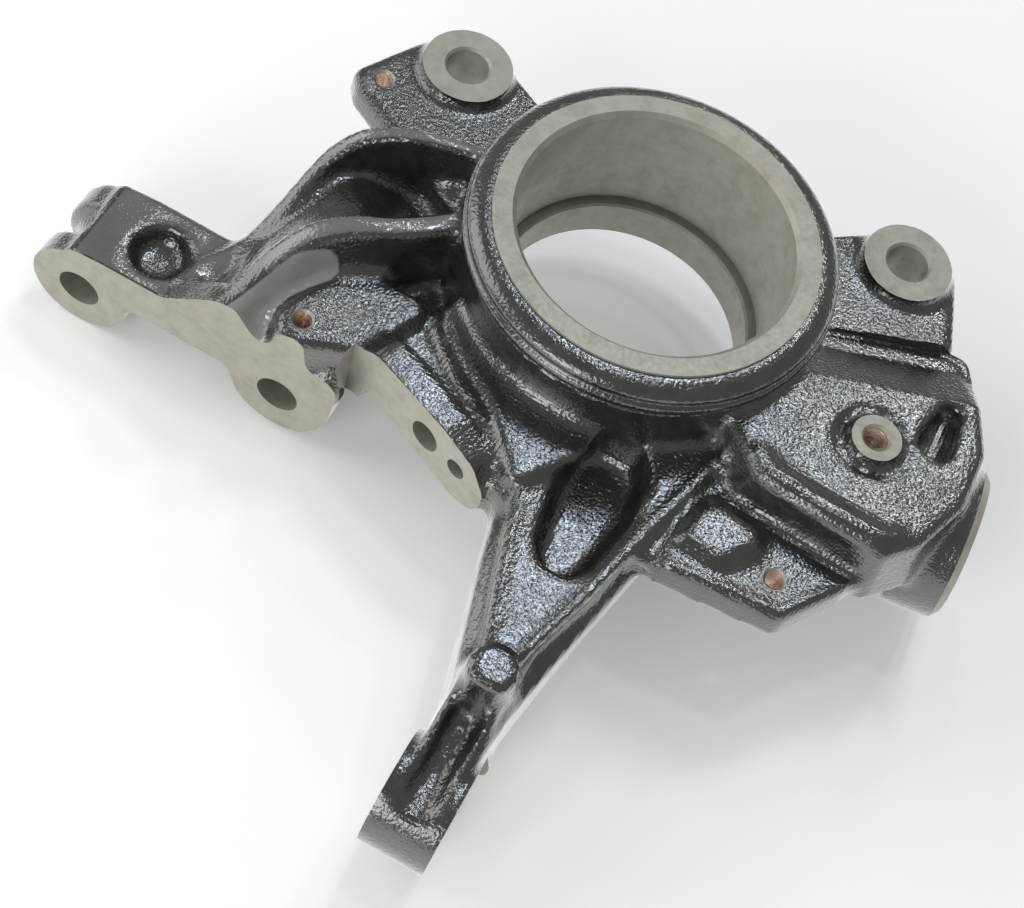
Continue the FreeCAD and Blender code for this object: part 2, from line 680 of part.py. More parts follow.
gutter = new_body("Gutter")
gutter_side = new_sketch(gutter, "GutterSide", "YZ_Plane", "eye_x - gutter_width / 2")
draw_outline(gutter_side, (
    ("-peg_reach - 5", "arm_top + 10"),
    ("-peg_reach - 7", "arm_top - 7 - gutter_depth"),
    ("-eye_reach + 4", "eye_height + eye_radius - gutter_depth"),
    ("-eye_reach - 9", "eye_height + eye_radius - gutter_depth"),
    ("-eye_reach - 9", "arm_top + 10"),
))
add_pad(gutter, gutter_side, "gutter_width")

# The faces of the lug are machined flat, so the ribs end at them.
lug_facing = document.addObject("Part::Box", "LugFacing")
bind(lug_facing, "Length", "120")
bind(lug_facing, "Width", "60")
bind(lug_facing, "Height", "120")
bind(lug_facing, "Placement.Base.x", "-170")
bind(lug_facing, "Placement.Base.y", "lug_face - 60")
bind(lug_facing, "Placement.Base.z", "-80")
strut_group = document.addObject("Part::MultiFuse", "StrutGroup")
strut_group.Shapes = [back_rib, front_rib, saddle, strut_web]
strut_faced = document.addObject("Part::Cut", "StrutFaced")
strut_faced.Base = strut_group
strut_faced.Tool = lug_facing
document.recompute()

casting = document.addObject("Part::MultiFuse", "Casting")
casting.Shapes = [housing, skirt, upper_ear, lower_ear, lug_front, lug_core, lug_back, strut_faced, pad,
                  bracket, panel, arm, eye, peg, lower_pad, lower_web, block, platform, neck, joint_boss]
hollows = document.addObject("Part::MultiFuse", "Hollows")
hollows.Shapes = [arm_pocket, notch, dimple, gutter, sensor_hollow]
opened = document.addObject("Part::Cut", "OpenedCasting")
opened.Base = casting
opened.Tool = hollows
whole = document.addObject("Part::MultiFuse", "WholeCasting")
whole.Shapes = [opened, sensor_boss]
document.recompute()

# Machining: the stepped bearing bore with its relief groove and mouth chamfer.
boring = new_body("Boring")
bore_profile = new_sketch(boring, "BoringProfile", "XZ_Plane")
draw_outline(bore_profile, (
    ("0", "rim_height + 5"),
    ("seat_radius + mouth_chamfer + 5", "rim_height + 5"),
    ("seat_radius", "rim_height - mouth_chamfer"),
    ("seat_radius", "rim_height - seat_depth + undercut_width"),
    ("seat_radius + undercut_depth", "rim_height - seat_depth + undercut_width"),
    ("seat_radius + undercut_depth", "rim_height - seat_depth"),
    ("shoulder_radius", "rim_height - seat_depth"),
    ("shoulder_radius", "rim_height - housing_height - 5"),
    ("0", "rim_height - housing_height - 5"),
))
bore_turning = boring.newObject("PartDesign::Revolution", "BoringTurning")
bore_turning.Profile = bore_profile
bore_turning.ReferenceAxis = (bore_profile, ["V_Axis"])
bore_turning.Angle = 360
document.recompute()

drills = []
for letter in "ab":
    across, along = polar("caliper_radius", f"caliper_turn_{letter}")
    drills.append(cylinder(f"CaliperHole{letter.upper()}", "caliper_hole", "50", (across, along, "-25")))
for letter, foot in (("a", "plate_top - plate_thickness - 5"), ("b", "pad_top - shield_depth"),
                     ("c", "plate_top - plate_thickness - 5")):
    across, along = polar("shield_radius", f"shield_turn_{letter}")
    drills.append(cylinder(f"ShieldHole{letter.upper()}", "shield_hole", "40", (across, along, foot)))
for letter, (across, up) in zip("AB", (BOLT_A, BOLT_B)):
    drills.append(cylinder(f"StrutHole{letter}", "bolt_hole", "lug_width + 20",
                           (across, "lug_face + lug_width + 10", up), (1, 0, 0), 90))
drills.append(cylinder("SensorHole", "sensor_hole", "sensor_depth + 5",
                       ("sensor_x", "sensor_y", "sensor_top - sensor_depth")))

taper_hole = document.addObject("Part::Cone", "TaperHole")
taper_hole.Placement = FreeCAD.Placement(FreeCAD.Vector(), FreeCAD.Rotation(FreeCAD.Vector(0, 1, 0), 90))
bind(taper_hole, "Radius1", "eye_hole_wide")
bind(taper_hole, "Radius2", "eye_hole_small")
bind(taper_hole, "Height", "eye_width")
bind(taper_hole, "Placement.Base.x", "eye_x - eye_width / 2")
bind(taper_hole, "Placement.Base.y", "-eye_reach")
bind(taper_hole, "Placement.Base.z", "eye_height")

for name, at, radius, depth in (("Bolt", "bracket_hole_at", "bracket_hole", "bracket_hole_depth"),
                                ("Pin", "bracket_pin_at", "bracket_pin", "bracket_pin_depth")):
    drills.append(cylinder(
        f"Bracket{name}Hole", radius, f"{depth} + 8",
        (f"bracket_x + {at} * cos(bracket_turn) - {depth} * sin(bracket_turn)",
         f"bracket_y + {at} * sin(bracket_turn) + {depth} * cos(bracket_turn)",
         "bracket_top - bracket_hole_drop")))
    turned = FreeCAD.Rotation(FreeCAD.Vector(0, 0, 1), sheet.bracket_turn)
    drills[-1].Placement.Rotation = turned.multiply(FreeCAD.Rotation(FreeCAD.Vector(1, 0, 0), 90))

machining = document.addObject("Part::MultiFuse", "Machining")
machining.Shapes = [boring, taper_hole, joint_bore] + drills
knuckle = document.addObject("Part::Cut", "Knuckle")
knuckle.Base = whole
knuckle.Tool = machining
knuckle.Label = "steering_knuckle"
document.recompute()

failed = [item.Name for item in document.Objects
          if any(state in ("Invalid", "Error") for state in item.State)]
if failed:
    raise RuntimeError("These objects failed: " + ", ".join(failed))
shape = knuckle.Shape
if shape.isNull() or not shape.isValid() or len(shape.Solids) != 1:
    raise RuntimeError(f"The knuckle is not one valid solid but {len(shape.Solids)}")

os.makedirs("parts", exist_ok=True)
knuckle.Shape.exportStep(f"parts/{knuckle.Label}.step")
print("volume cm3", round(shape.Volume / 1000, 1), "faces", len(shape.Faces), shape.BoundBox)
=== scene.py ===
import bpy
import numpy as np
from mathutils import Matrix, Vector


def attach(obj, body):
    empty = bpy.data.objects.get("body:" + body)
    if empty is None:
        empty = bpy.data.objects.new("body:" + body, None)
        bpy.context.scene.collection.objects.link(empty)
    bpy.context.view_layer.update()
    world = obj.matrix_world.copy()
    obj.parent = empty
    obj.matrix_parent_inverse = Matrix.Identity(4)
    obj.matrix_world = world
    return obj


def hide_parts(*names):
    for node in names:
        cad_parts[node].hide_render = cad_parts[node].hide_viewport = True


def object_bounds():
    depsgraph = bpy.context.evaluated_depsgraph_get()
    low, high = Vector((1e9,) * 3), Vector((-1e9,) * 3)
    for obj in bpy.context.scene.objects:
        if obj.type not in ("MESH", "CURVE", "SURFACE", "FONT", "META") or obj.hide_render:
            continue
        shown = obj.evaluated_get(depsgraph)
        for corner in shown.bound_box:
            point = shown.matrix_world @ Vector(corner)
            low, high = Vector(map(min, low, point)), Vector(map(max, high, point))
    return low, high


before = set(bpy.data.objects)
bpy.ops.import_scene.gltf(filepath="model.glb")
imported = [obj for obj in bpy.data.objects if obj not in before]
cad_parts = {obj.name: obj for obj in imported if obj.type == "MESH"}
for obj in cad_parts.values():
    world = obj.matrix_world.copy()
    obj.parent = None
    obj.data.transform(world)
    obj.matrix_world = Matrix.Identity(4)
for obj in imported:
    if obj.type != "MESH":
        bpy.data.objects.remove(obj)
cad_box = [list(corner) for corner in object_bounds()]


# The rough casting: one piece of nodular iron, poured in a sand mould, with all its ribs, ears and
# arms in one. It has rounded edges, wide fillets and two millimetres of stock where it is machined,
# and it is painted black. Sizes are in millimetres, and MM turns them into metres.
MM = 0.001
STOCK = 2.0 * MM
VOXEL = 1.15 * MM
RIM = 20.0
SEAT_RADIUS = 38.0
RING_RADIUS = 44.6
BOSS_TOP = -2.0
CALIPER_BOSSES = ((-72.042, 37.024), (63.126, 50.754))
SHIELD_SCREWS = ((-90.032, 20.785, -5.0), (-68.882, -61.587, -5.5), (69.31, -61.105, -5.0))
LUG_FACES = (-68.0, -43.0)
STRUT_BOLTS = ((-131.1, -37.1), (-69.1, -34.9))
SENSOR = (75.6, -16.1, 8.0)
BRACKET_NORMAL = np.array((-0.34530, -0.93849, 0.0))
BRACKET_CORNER = np.array((-51.0, -61.0, 0.0))
BRACKET_HOLE_HEIGHT = -13.0
# The two bracket holes: their distance from the corner of the face, and their radius.
BRACKET_HOLES = ((26.0, 4.6), (38.0, 3.0))
JOINT_AXIS = np.array((0.99161, 0.09548, 0.08716))
JOINT_FACE = np.array((111.7, -14.0, -19.0))
EYE = (19.0, -151.0, -30.0)
EYE_FACES = (10.0, 28.0)
FILLET = 0.9
# Spots with wider fillets: the middle, the reach along x, y and z, and the fillet's radius.
FILLET_SPOTS = (
    ((-52, -8, 0), (22, 22, 16), 2.8),
    ((-70, -30, -8), (20, 14, 14), 2.2),
    ((0, -54, -4), (40, 7, 8), 2.4),
    ((50, -22, 2), (8, 18, 8), 2.2),
)
# Raised edges that the mould leaves: the radius of each and the line of its middle. The first is
# the round bead at the front of the ball-joint platform.
RIDGES = (
    (4.4, ((50, -33, 1), (51, -37.5, 3.2), (55.5, -40.4, 3.4), (72.4, -41.6, 3.4), (87, -41.9, 3.4),
           (92, -38, 2.5))),
    (1.5, ((43, -72.6, -5.6), (57, -70.9, -5.6), (74.2, -69, -5.6), (86.2, -51.6, -5.8))),
    (1.5, ((-8, -50, -7), (-7.6, -54, -5.6), (0.9, -66.4, -5.6), (5, -86, -5.6), (9.5, -101, -5.6),
           (13.4, -113, -5.8))),
    (1.5, ((-5, -58, -13), (-1, -70, -13), (3.6, -92, -13), (12, -122, -13))),
    (1.6, ((42, -36, -9), (41.4, -42, -5.8), (39, -51.8, -5.6), (35.6, -64.8, -5.6), (30, -91, -5.6),
           (23.4, -114.6, -5.8))),
    (1.4, ((13.6, -128, -9), (13.6, -138, -12.4), (14, -149, -16.8))),
    (1.4, ((24.4, -128, -9), (24.4, -138, -12.4), (24, -149, -16.8))),
    (1.3, ((-38, -42, -6), (-35.5, -43.6, -3.7), (-26, -51.2, -3.7), (-16, -56.8, -3.7),
           (-9, -63.4, -3.8), (-4, -71, -5))),
)
# Outline of the raised square on the lower pad, its foot and its top.
RAISED_SQUARE = ((43.6, -64.9), (53, -66.2), (56.4, -64.5), (61.6, -55.4), (61.2, -52.2),
                 (49.5, -50.4), (45.2, -53.4))
RAISED_SQUARE_HEIGHTS = (-7, -2.6)
RAISED_SQUARE_FLARE = 1.6
# The slope at the back of the ball-joint platform: a point of the line that it starts from, how
# much y grows with x along that line, the drop for each millimetre beyond it and the longest run.
SLOPE_START = (55.6, -5.1)
SLOPE_TURN = 0.39
SLOPE_DROP = 0.42
SLOPE_RUN = 13
# The skin behind the mouth band stays within this radius, below this height.
COVERED_RADIUS = 48.4
COVERED_HEIGHT = 18.4


def put_mesh(name, points, faces):
    """A new object whose mesh has the given points, in metres, and faces."""
    mesh = bpy.data.meshes.new(name)
    mesh.from_pydata(np.asarray(points, float).reshape(-1, 3), [], [list(face) for face in faces])
    mesh.update()
    item = bpy.data.objects.new(name, mesh)
    bpy.context.scene.collection.objects.link(item)
    return item


def turned(profile, place, axis=(0, 0, 1), steps=96):
    """Surface of revolution of a closed profile.

    The point at angle t is place + r * (cos t * u + sin t * v) + h * axis for each (r, h) of the
    profile, in millimetres, with u and v square to the axis. Returns points in metres and quads.
    """
    axis = np.asarray(axis, float) / np.linalg.norm(axis)
    u = np.cross(axis, (0.0, 0.0, 1.0) if abs(axis[2]) < 0.9 else (1.0, 0.0, 0.0))
    u /= np.linalg.norm(u)
    v = np.cross(axis, u)
    r, h = np.asarray(profile, float).T
    t = np.linspace(0, 2 * np.pi, steps, endpoint=False)[:, None, None]
    around = np.cos(t) * u + np.sin(t) * v
    points = np.asarray(place, float) + r[None, :, None] * around + h[None, :, None] * axis
    count = len(r)
    i, j = np.meshgrid(np.arange(steps), np.arange(count), indexing="ij")
    near, far = (j + 1) % count, (i + 1) % steps
    quads = np.stack((i * count + j, far * count + j, far * count + near, i * count + near), -1)
    return points.reshape(-1, 3) * MM, quads.reshape(-1, 4)


def joined(shapes):
    """Several (points, faces) pairs as one."""
    points, faces, start = [], [], 0
    for some_points, some_faces in shapes:
        points.append(some_points)
        faces += [[corner + start for corner in face] for face in some_faces]
        start += len(some_points)
    return np.concatenate(points), faces


def baked(item):
    """Apply one voxel remesh to an item."""
    change = item.modifiers.new("skin", "REMESH")
    change.mode = "VOXEL"
    change.voxel_size = VOXEL
    graph = bpy.context.evaluated_depsgraph_get()
    mesh = bpy.data.meshes.new_from_object(item.evaluated_get(graph))
    item.modifiers.clear()
    item.data = mesh


def points_of(mesh):
    """Every point of a mesh as rows of x, y and z."""
    points = np.zeros(len(mesh.vertices) * 3)
    mesh.vertices.foreach_get("co", points)
    return points.reshape(-1, 3)


def set_points(mesh, points):
    """Put rows of x, y and z back into a mesh."""
    mesh.vertices.foreach_set("co", points.ravel())
    mesh.update()


def ridge(radius, line, sides=12):
    """A round bar with pointed ends along a line, as (points, faces).

    The point at angle t of station i is line[i] + radius * (cos t * u + sin t * v), with u level and
    v square to u and to the way of the line there. All lengths are in millimetres.
    """
    line = np.asarray(line, float)
    way = np.gradient(line, axis=0)
    way /= np.linalg.norm(way, axis=1)[:, None]
    u = np.cross(way, (0.0, 0.0, 1.0))
    u /= np.linalg.norm(u, axis=1)[:, None]
    v = np.cross(u, way)
    line = np.concatenate((line[:1] - radius * way[:1], line, line[-1:] + radius * way[-1:]))
    u, v = (np.concatenate((side[:1], side, side[-1:])) for side in (u, v))
    size = np.full(len(line), float(radius))
    size[0] = size[-1] = 0.02
    t = np.linspace(0, 2 * np.pi, sides, endpoint=False)[None, :, None]
    points = line[:, None] + size[:, None, None] * (np.cos(t) * u[:, None] + np.sin(t) * v[:, None])
    i, j = np.meshgrid(np.arange(len(line) - 1), np.arange(sides), indexing="ij")
    after = (j + 1) % sides
    quads = np.stack((i * sides + j, i * sides + after, (i + 1) * sides + after, (i + 1) * sides + j), -1)
    ends = np.array([np.arange(sides)[::-1], (len(line) - 1) * sides + np.arange(sides)])
    return points.reshape(-1, 3) * MM, [*quads.reshape(-1, 4).tolist(), *ends.tolist()]


def prism(outline, low, high, flare):
    """A block as (points, faces): the outline at the height high, wider by the flare at the height low."""
    outline = np.asarray(outline, float)
    middle = outline.mean(0)
    away = outline - middle
    foot = outline + flare * away / np.linalg.norm(away, axis=1)[:, None]
    count = len(outline)
    points = [(x, y, low) for x, y in foot] + [(x, y, high) for x, y in outline]
    sides = [(k, (k + 1) % count, (k + 1) % count + count, k + count) for k in range(count)]
    return np.array(points, float) * MM, [*sides, tuple(range(count))[::-1], tuple(range(count, 2 * count))]


def fillet_size(points):
    """Fillet radius of the sand mould in metres: wide at the roots of ribs, fine round small raised forms.

    It starts from FILLET, and near each listed spot it goes over to that spot's own size by
    exp(-(distance / reach) ** 4), with the distance measured in the spot's stretched box.
    """
    size = np.full(len(points), FILLET)
    for (x, y, z), (rx, ry, rz), own in FILLET_SPOTS:
        away = (((points / MM - (x, y, z)) / (rx, ry, rz)) ** 2).sum(1)
        size += (own - size) * np.exp(-away ** 2)
    return size * MM


def swell(mesh, share):
    """Move every point along its normal by a share of the fillet radius."""
    normals = np.zeros(len(mesh.vertices) * 3)
    mesh.vertex_normals.foreach_get("vector", normals)
    points = points_of(mesh)
    set_points(mesh, points + share * fillet_size(points)[:, None] * normals.reshape(-1, 3))


def relax(mesh, rounds, share=0.5, back=-0.52):
    """Smooth a mesh: each point goes towards the mean of its neighbours, then part of the way back."""
    edges = np.zeros(len(mesh.edges) * 2, int)
    mesh.edges.foreach_get("vertices", edges)
    a, b = edges.reshape(-1, 2).T
    count = len(mesh.vertices)
    degree = np.maximum(np.bincount(a, minlength=count) + np.bincount(b, minlength=count), 1)[:, None]
    points = points_of(mesh)
    for _ in range(rounds):
        for step in (share, back):
            total = np.stack([np.bincount(a, points[b, k], count) + np.bincount(b, points[a, k], count)
                              for k in range(3)], 1)
            points = points + step * (total / degree - points)
    set_points(mesh, points)


def with_stock(points):
    """Points on the machined planes, moved out by the stock that is machined off later."""
    x, y, z = points.T / MM
    near = 0.05
    lug = x < -50
    radial = np.hypot(x, y)
    bracket = abs((points / MM - BRACKET_CORNER) @ BRACKET_NORMAL) < near
    rules = [
        ((abs(z - RIM) < near) & (radial < 46), (0, 0, 1)),
        ((abs(z - SENSOR[2]) < near) & (np.hypot(x - SENSOR[0], y - SENSOR[1]) < 8), (0, 0, 1)),
        ((abs(y - LUG_FACES[0]) < near) & lug, (0, -1, 0)),
        ((abs(y - LUG_FACES[1]) < near) & (z < -19.5) & lug, (0, 1, 0)),
        ((abs(x - EYE_FACES[0]) < near) & (y < -134), (-1, 0, 0)),
        ((abs(x - EYE_FACES[1]) < near) & (y < -134), (1, 0, 0)),
        ((abs((points / MM - JOINT_FACE) @ JOINT_AXIS) < near) & (x > 95), JOINT_AXIS),
        (bracket & (x > -53) & (x < 0), BRACKET_NORMAL),
    ]
    for bx, by in CALIPER_BOSSES:
        rules.append(((abs(z - BOSS_TOP) < near) & (np.hypot(x - bx, y - by) < 14), (0, 0, 1)))
    for where, way in rules:
        points = points + STOCK * where[:, None] * np.asarray(way, float)
    return points


def plug(radius, low, high, place, axis=(0, 0, 1)):
    """A solid cylinder as (points, faces), from low to high along the axis through the place."""
    return turned(((0.02, low), (radius, low), (radius, high), (0.02, high)), place, axis, 32)


# The raw part has no holes yet, so those of the solid are filled before the skin is made.
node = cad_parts["steering_knuckle"]
rough = bpy.data.objects.new("knuckle_casting", node.data.copy())
bpy.context.scene.collection.objects.link(rough)
rough.data.materials.clear()
weld = rough.modifiers.new("weld", "WELD")
weld.merge_threshold = 1e-6
rough.data = bpy.data.meshes.new_from_object(rough.evaluated_get(bpy.context.evaluated_depsgraph_get()))
rough.modifiers.clear()
set_points(rough.data, with_stock(points_of(rough.data)))

fills = [turned(((36, -22), (40, -22), (40, 22), (36, 22)), (0, 0, 0)),
         turned(((33.5, -30), (40, -30), (40, -17), (33.5, -17)), (0, 0, 0))]
fills += [plug(7.5, -17, 0, (x, y, 0)) for x, y in CALIPER_BOSSES]
fills += [plug(4, -9, 0, (x, y, z)) for x, y, z in SHIELD_SCREWS]
fills += [plug(4, -14, -8, SHIELD_SCREWS[1])]
fills += [plug(7.5, -70, -41, (x, 0, z), (0, 1, 0)) for x, z in STRUT_BOLTS]
fills += [plug(4.5, -15, 2, SENSOR)]
fills += [plug(10.5, -36, 2, JOINT_FACE, JOINT_AXIS)]
fills += [plug(8.5, -11, 11, EYE, (1, 0, 0))]
along_bracket = np.array((-BRACKET_NORMAL[1], BRACKET_NORMAL[0], 0))
bracket_holes = [(BRACKET_CORNER + along * along_bracket + (0, 0, BRACKET_HOLE_HEIGHT), radius)
                 for along, radius in BRACKET_HOLES]
fills += [plug(radius + 1, -20, 2, spot, BRACKET_NORMAL) for spot, radius in bracket_holes]
fills += [ridge(*shape) for shape in RIDGES]
fills.append(prism(RAISED_SQUARE, *RAISED_SQUARE_HEIGHTS, RAISED_SQUARE_FLARE))
fill_item = put_mesh("fills", *joined(fills))
with bpy.context.temp_override(active_object=rough, selected_editable_objects=[rough, fill_item],
                               object=rough, selected_objects=[rough, fill_item]):
    bpy.ops.object.join()
baked(rough)
swell(rough.data, 1)
baked(rough)
swell(rough.data, -1)
baked(rough)
relax(rough.data, 5)

# The back of the ball-joint platform falls away from a line across it. Behind the mouth band the
# skin is drawn in, so that the band covers it.
points = points_of(rough.data) / MM
beyond = (points[:, 1] - SLOPE_START[1] - SLOPE_TURN * (points[:, 0] - SLOPE_START[0])) * 0.93
top = (points[:, 0] > 50) & (points[:, 0] < 106) & (beyond > 0) & (beyond < 19) & (points[:, 2] > 0.5)
drop = SLOPE_DROP * np.clip(beyond, 0, SLOPE_RUN)
points[top, 2] -= drop[top] * np.clip((points[top, 2] - 0.5) / 5, 0, 1)
radial = np.hypot(points[:, 0], points[:, 1])
behind = (points[:, 2] > 8.6) & (radial < 56)
points[behind, :2] *= (np.minimum(radial[behind], COVERED_RADIUS) / radial[behind])[:, None]
points[behind, 2] = np.minimum(points[behind, 2], COVERED_HEIGHT)
set_points(rough.data, points * MM)


def nodes_of(name):
    """A new material with its node tree, its shader and a texture coordinate node."""
    material = bpy.data.materials.new(name)
    material.use_nodes = True
    tree = material.node_tree
    return material, tree, tree.nodes["Principled BSDF"], tree.nodes.new("ShaderNodeTexCoord")


def noise(tree, place, scale, detail=2.0, roughness=0.5):
    """Noise over Object coordinates; a scale of 500 has features two millimetres across."""
    item = tree.nodes.new("ShaderNodeTexNoise")
    item.inputs["Scale"].default_value = scale
    item.inputs["Detail"].default_value = detail
    item.inputs["Roughness"].default_value = roughness
    tree.links.new(place.outputs["Object"], item.inputs["Vector"])
    return item.outputs["Fac"]


def spread(tree, value, low, high, start=0.0, end=1.0):
    """Map a value from low..high to start..end, held inside them."""
    item = tree.nodes.new("ShaderNodeMapRange")
    for socket, number in zip(("From Min", "From Max", "To Min", "To Max"), (low, high, start, end)):
        item.inputs[socket].default_value = number
    tree.links.new(value, item.inputs["Value"])
    return item.outputs["Result"]


def worked(tree, operation, first, second):
    """One piece of arithmetic on two values, either of which may be a number."""
    item = tree.nodes.new("ShaderNodeMath")
    item.operation = operation
    for socket, value in zip(item.inputs, (first, second)):
        if isinstance(value, (int, float)):
            socket.default_value = value
        else:
            tree.links.new(value, socket)
    return item.outputs["Value"]


def shaded(tree, value, colours):
    """A colour that runs through the given colours as the value goes from 0 to 1."""
    ramp = tree.nodes.new("ShaderNodeValToRGB")
    band = ramp.color_ramp
    while len(band.elements) < len(colours):
        band.elements.new(0.5)
    for element, (where, colour) in zip(band.elements, colours):
        element.position = where
        element.color = (*colour, 1)
    tree.links.new(value, ramp.inputs["Fac"])
    return ramp.outputs["Color"]


def raised(tree, shader, height, distance, strength=1.0):
    """Bump on a shader and on its coat; the distance is the height of the bumps in metres."""
    item = tree.nodes.new("ShaderNodeBump")
    item.inputs["Distance"].default_value = distance
    item.inputs["Strength"].default_value = strength
    tree.links.new(height, item.inputs["Height"])
    tree.links.new(item.outputs["Normal"], shader.inputs["Normal"])
    tree.links.new(item.outputs["Normal"], shader.inputs["Coat Normal"])


# Black paint over the grain of the sand. Where the mask is 1, a light grey iron colour shows without the
# grain: bare iron on the milled relief, and a painted sheen on the up-facing crests of the ribs and the top
# of the lug.
black_paint, tree, shader, place = nodes_of("black_paint")
pebbles = tree.nodes.new("ShaderNodeTexVoronoi")
pebbles.feature = "SMOOTH_F1"
pebbles.inputs["Scale"].default_value = 1050
pebbles.inputs["Smoothness"].default_value = 0.6
tree.links.new(place.outputs["Object"], pebbles.inputs["Vector"])
sand = noise(tree, place, 1300)
patches = noise(tree, place, 55)
grain = worked(tree, "ADD", worked(tree, "MULTIPLY", pebbles.outputs["Distance"], -0.9), sand)
grain = worked(tree, "MULTIPLY", grain, spread(tree, patches, 0.35, 0.65, 0.6, 1.0))
iron_and_sheen_mask = tree.nodes.new("ShaderNodeAttribute")
iron_and_sheen_mask.attribute_name = "iron_and_painted_sheen"
iron_and_sheen_share = spread(tree, iron_and_sheen_mask.outputs["Fac"], 0.3, 0.7)
raised(tree, shader, worked(tree, "MULTIPLY", grain, spread(tree, iron_and_sheen_share, 0, 1, 1, 0.12)), 0.000135)
paint_colours = ((0.3, (0.011, 0.011, 0.0095)), (0.75, (0.028, 0.028, 0.024)))
# Light grey iron colour: bare iron on the relief, and a painted sheen on the crests and the lug top.
iron_and_painted_sheen_colours = ((0.3, (0.21, 0.205, 0.19)), (0.7, (0.26, 0.255, 0.24)))
mix = tree.nodes.new("ShaderNodeMix")
mix.data_type = "RGBA"
tree.links.new(iron_and_sheen_share, mix.inputs["Factor"])
tree.links.new(shaded(tree, noise(tree, place, 300, 3.0), paint_colours), mix.inputs["A"])
tree.links.new(shaded(tree, patches, iron_and_painted_sheen_colours), mix.inputs["B"])
tree.links.new(mix.outputs["Result"], shader.inputs["Base Color"])
tree.links.new(spread(tree, noise(tree, place, 180), 0.3, 0.7, 0.12, 0.26), shader.inputs["Roughness"])
shader.inputs["Specular IOR Level"].default_value = 0.8
shader.inputs["Coat Weight"].default_value = 0.7
shader.inputs["Coat IOR"].default_value = 1.7
shader.inputs["Coat Roughness"].default_value = 0.12
rough.data.materials.append(black_paint)


# The band round the mouth of the housing: part of the same casting, with two fine beads below the
# machined ring. Its profile is so fine that it is turned on its own and sits on the casting.
BAND = ((43.0, 10.0), (48.2, 8.4), (49.2, 9.0), (49.9, 10.2), (50.9, 11.2), (51.4, 12.5), (51.2, 13.7),
        (50.4, 14.4), (50.1, 15.0), (50.5, 15.7), (50.4, 16.6), (49.6, 17.6), (48.2, 18.5),
        (46.4, 19.05), (RING_RADIUS, 19.2), (43.0, 19.1))


def rounded(profile, cuts):
    """Corners of a closed profile cut off several times, each at a quarter of its sides."""
    points = np.asarray(profile, float)
    for _ in range(cuts):
        after = np.roll(points, -1, 0)
        points = np.stack((0.75 * points + 0.25 * after, 0.25 * points + 0.75 * after), 1).reshape(-1, 2)
    return points


band = put_mesh("mouth_band", *turned(rounded(BAND, 2), (0, 0, 0), steps=256))
band.data.materials.append(black_paint)
band.data.polygons.foreach_set("use_smooth", np.ones(len(band.data.polygons), bool))
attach(band, "root")


# The machined ring that closes the mouth: bare iron of the same casting, faced flat at the rim and
# chamfered towards the seat. The tool leaves fine rings on it, on the bosses and on the sensor seat.
bare_iron, tree, shader, place = nodes_of("machined_iron")
shader.inputs["Metallic"].default_value = 0.35
tree.links.new(shaded(tree, noise(tree, place, 160, 4.0, 0.65),
                      ((0.25, (0.27, 0.262, 0.205)), (0.5, (0.34, 0.332, 0.275)),
                       (0.8, (0.39, 0.38, 0.325)))),
               shader.inputs["Base Color"])
tree.links.new(spread(tree, noise(tree, place, 700, 3.0), 0.3, 0.7, 0.4, 0.55), shader.inputs["Roughness"])
TOOL_FEED = 0.7
marks = None
for x, y in ((0, 0), *CALIPER_BOSSES, SENSOR[:2]):
    centre = tree.nodes.new("ShaderNodeVectorMath")
    centre.operation = "MULTIPLY"
    centre.inputs[1].default_value = (1, 1, 0)
    tree.links.new(place.outputs["Object"], centre.inputs[0])
    reach = tree.nodes.new("ShaderNodeVectorMath")
    reach.operation = "DISTANCE"
    reach.inputs[1].default_value = (x * MM, y * MM, 0)
    tree.links.new(centre.outputs["Vector"], reach.inputs[0])
    distance = reach.outputs["Value"]
    marks = distance if marks is None else worked(tree, "MINIMUM", marks, distance)
marks = worked(tree, "SINE", worked(tree, "MULTIPLY", marks, 2 * np.pi / (TOOL_FEED * MM)), 0.0)
marks = worked(tree, "ADD", worked(tree, "MULTIPLY", marks, 0.25), noise(tree, place, 1800))
raised(tree, shader, marks, 0.00003, 0.5)
RING = ((SEAT_RADIUS, 17.0), (RING_RADIUS, 17.0), (RING_RADIUS, 19.9), (44.5, RIM), (39.3, RIM),
        (SEAT_RADIUS, 18.7))
ring = put_mesh("mouth_ring", *turned(RING, (0, 0, 0), steps=256))
ring.data.materials.append(bare_iron)
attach(ring, "root")


# Machining of the casting: the bearing seat, bosses, screw holes, strut lug, bracket face, ball-joint
# bore and tie-rod eye. Each cut is the space that the tool clears, and the iron is bare where it went.
def block(low, high):
    """A box as (points, faces), between its lowest and its highest corner."""
    corners = np.array([(x, y, z) for x in (low[0], high[0]) for y in (low[1], high[1])
                        for z in (low[2], high[2])], float) * MM
    faces = ((0, 1, 3, 2), (4, 6, 7, 5), (0, 4, 5, 1), (2, 3, 7, 6), (0, 2, 6, 4), (1, 5, 7, 3))
    return corners, np.array(faces)


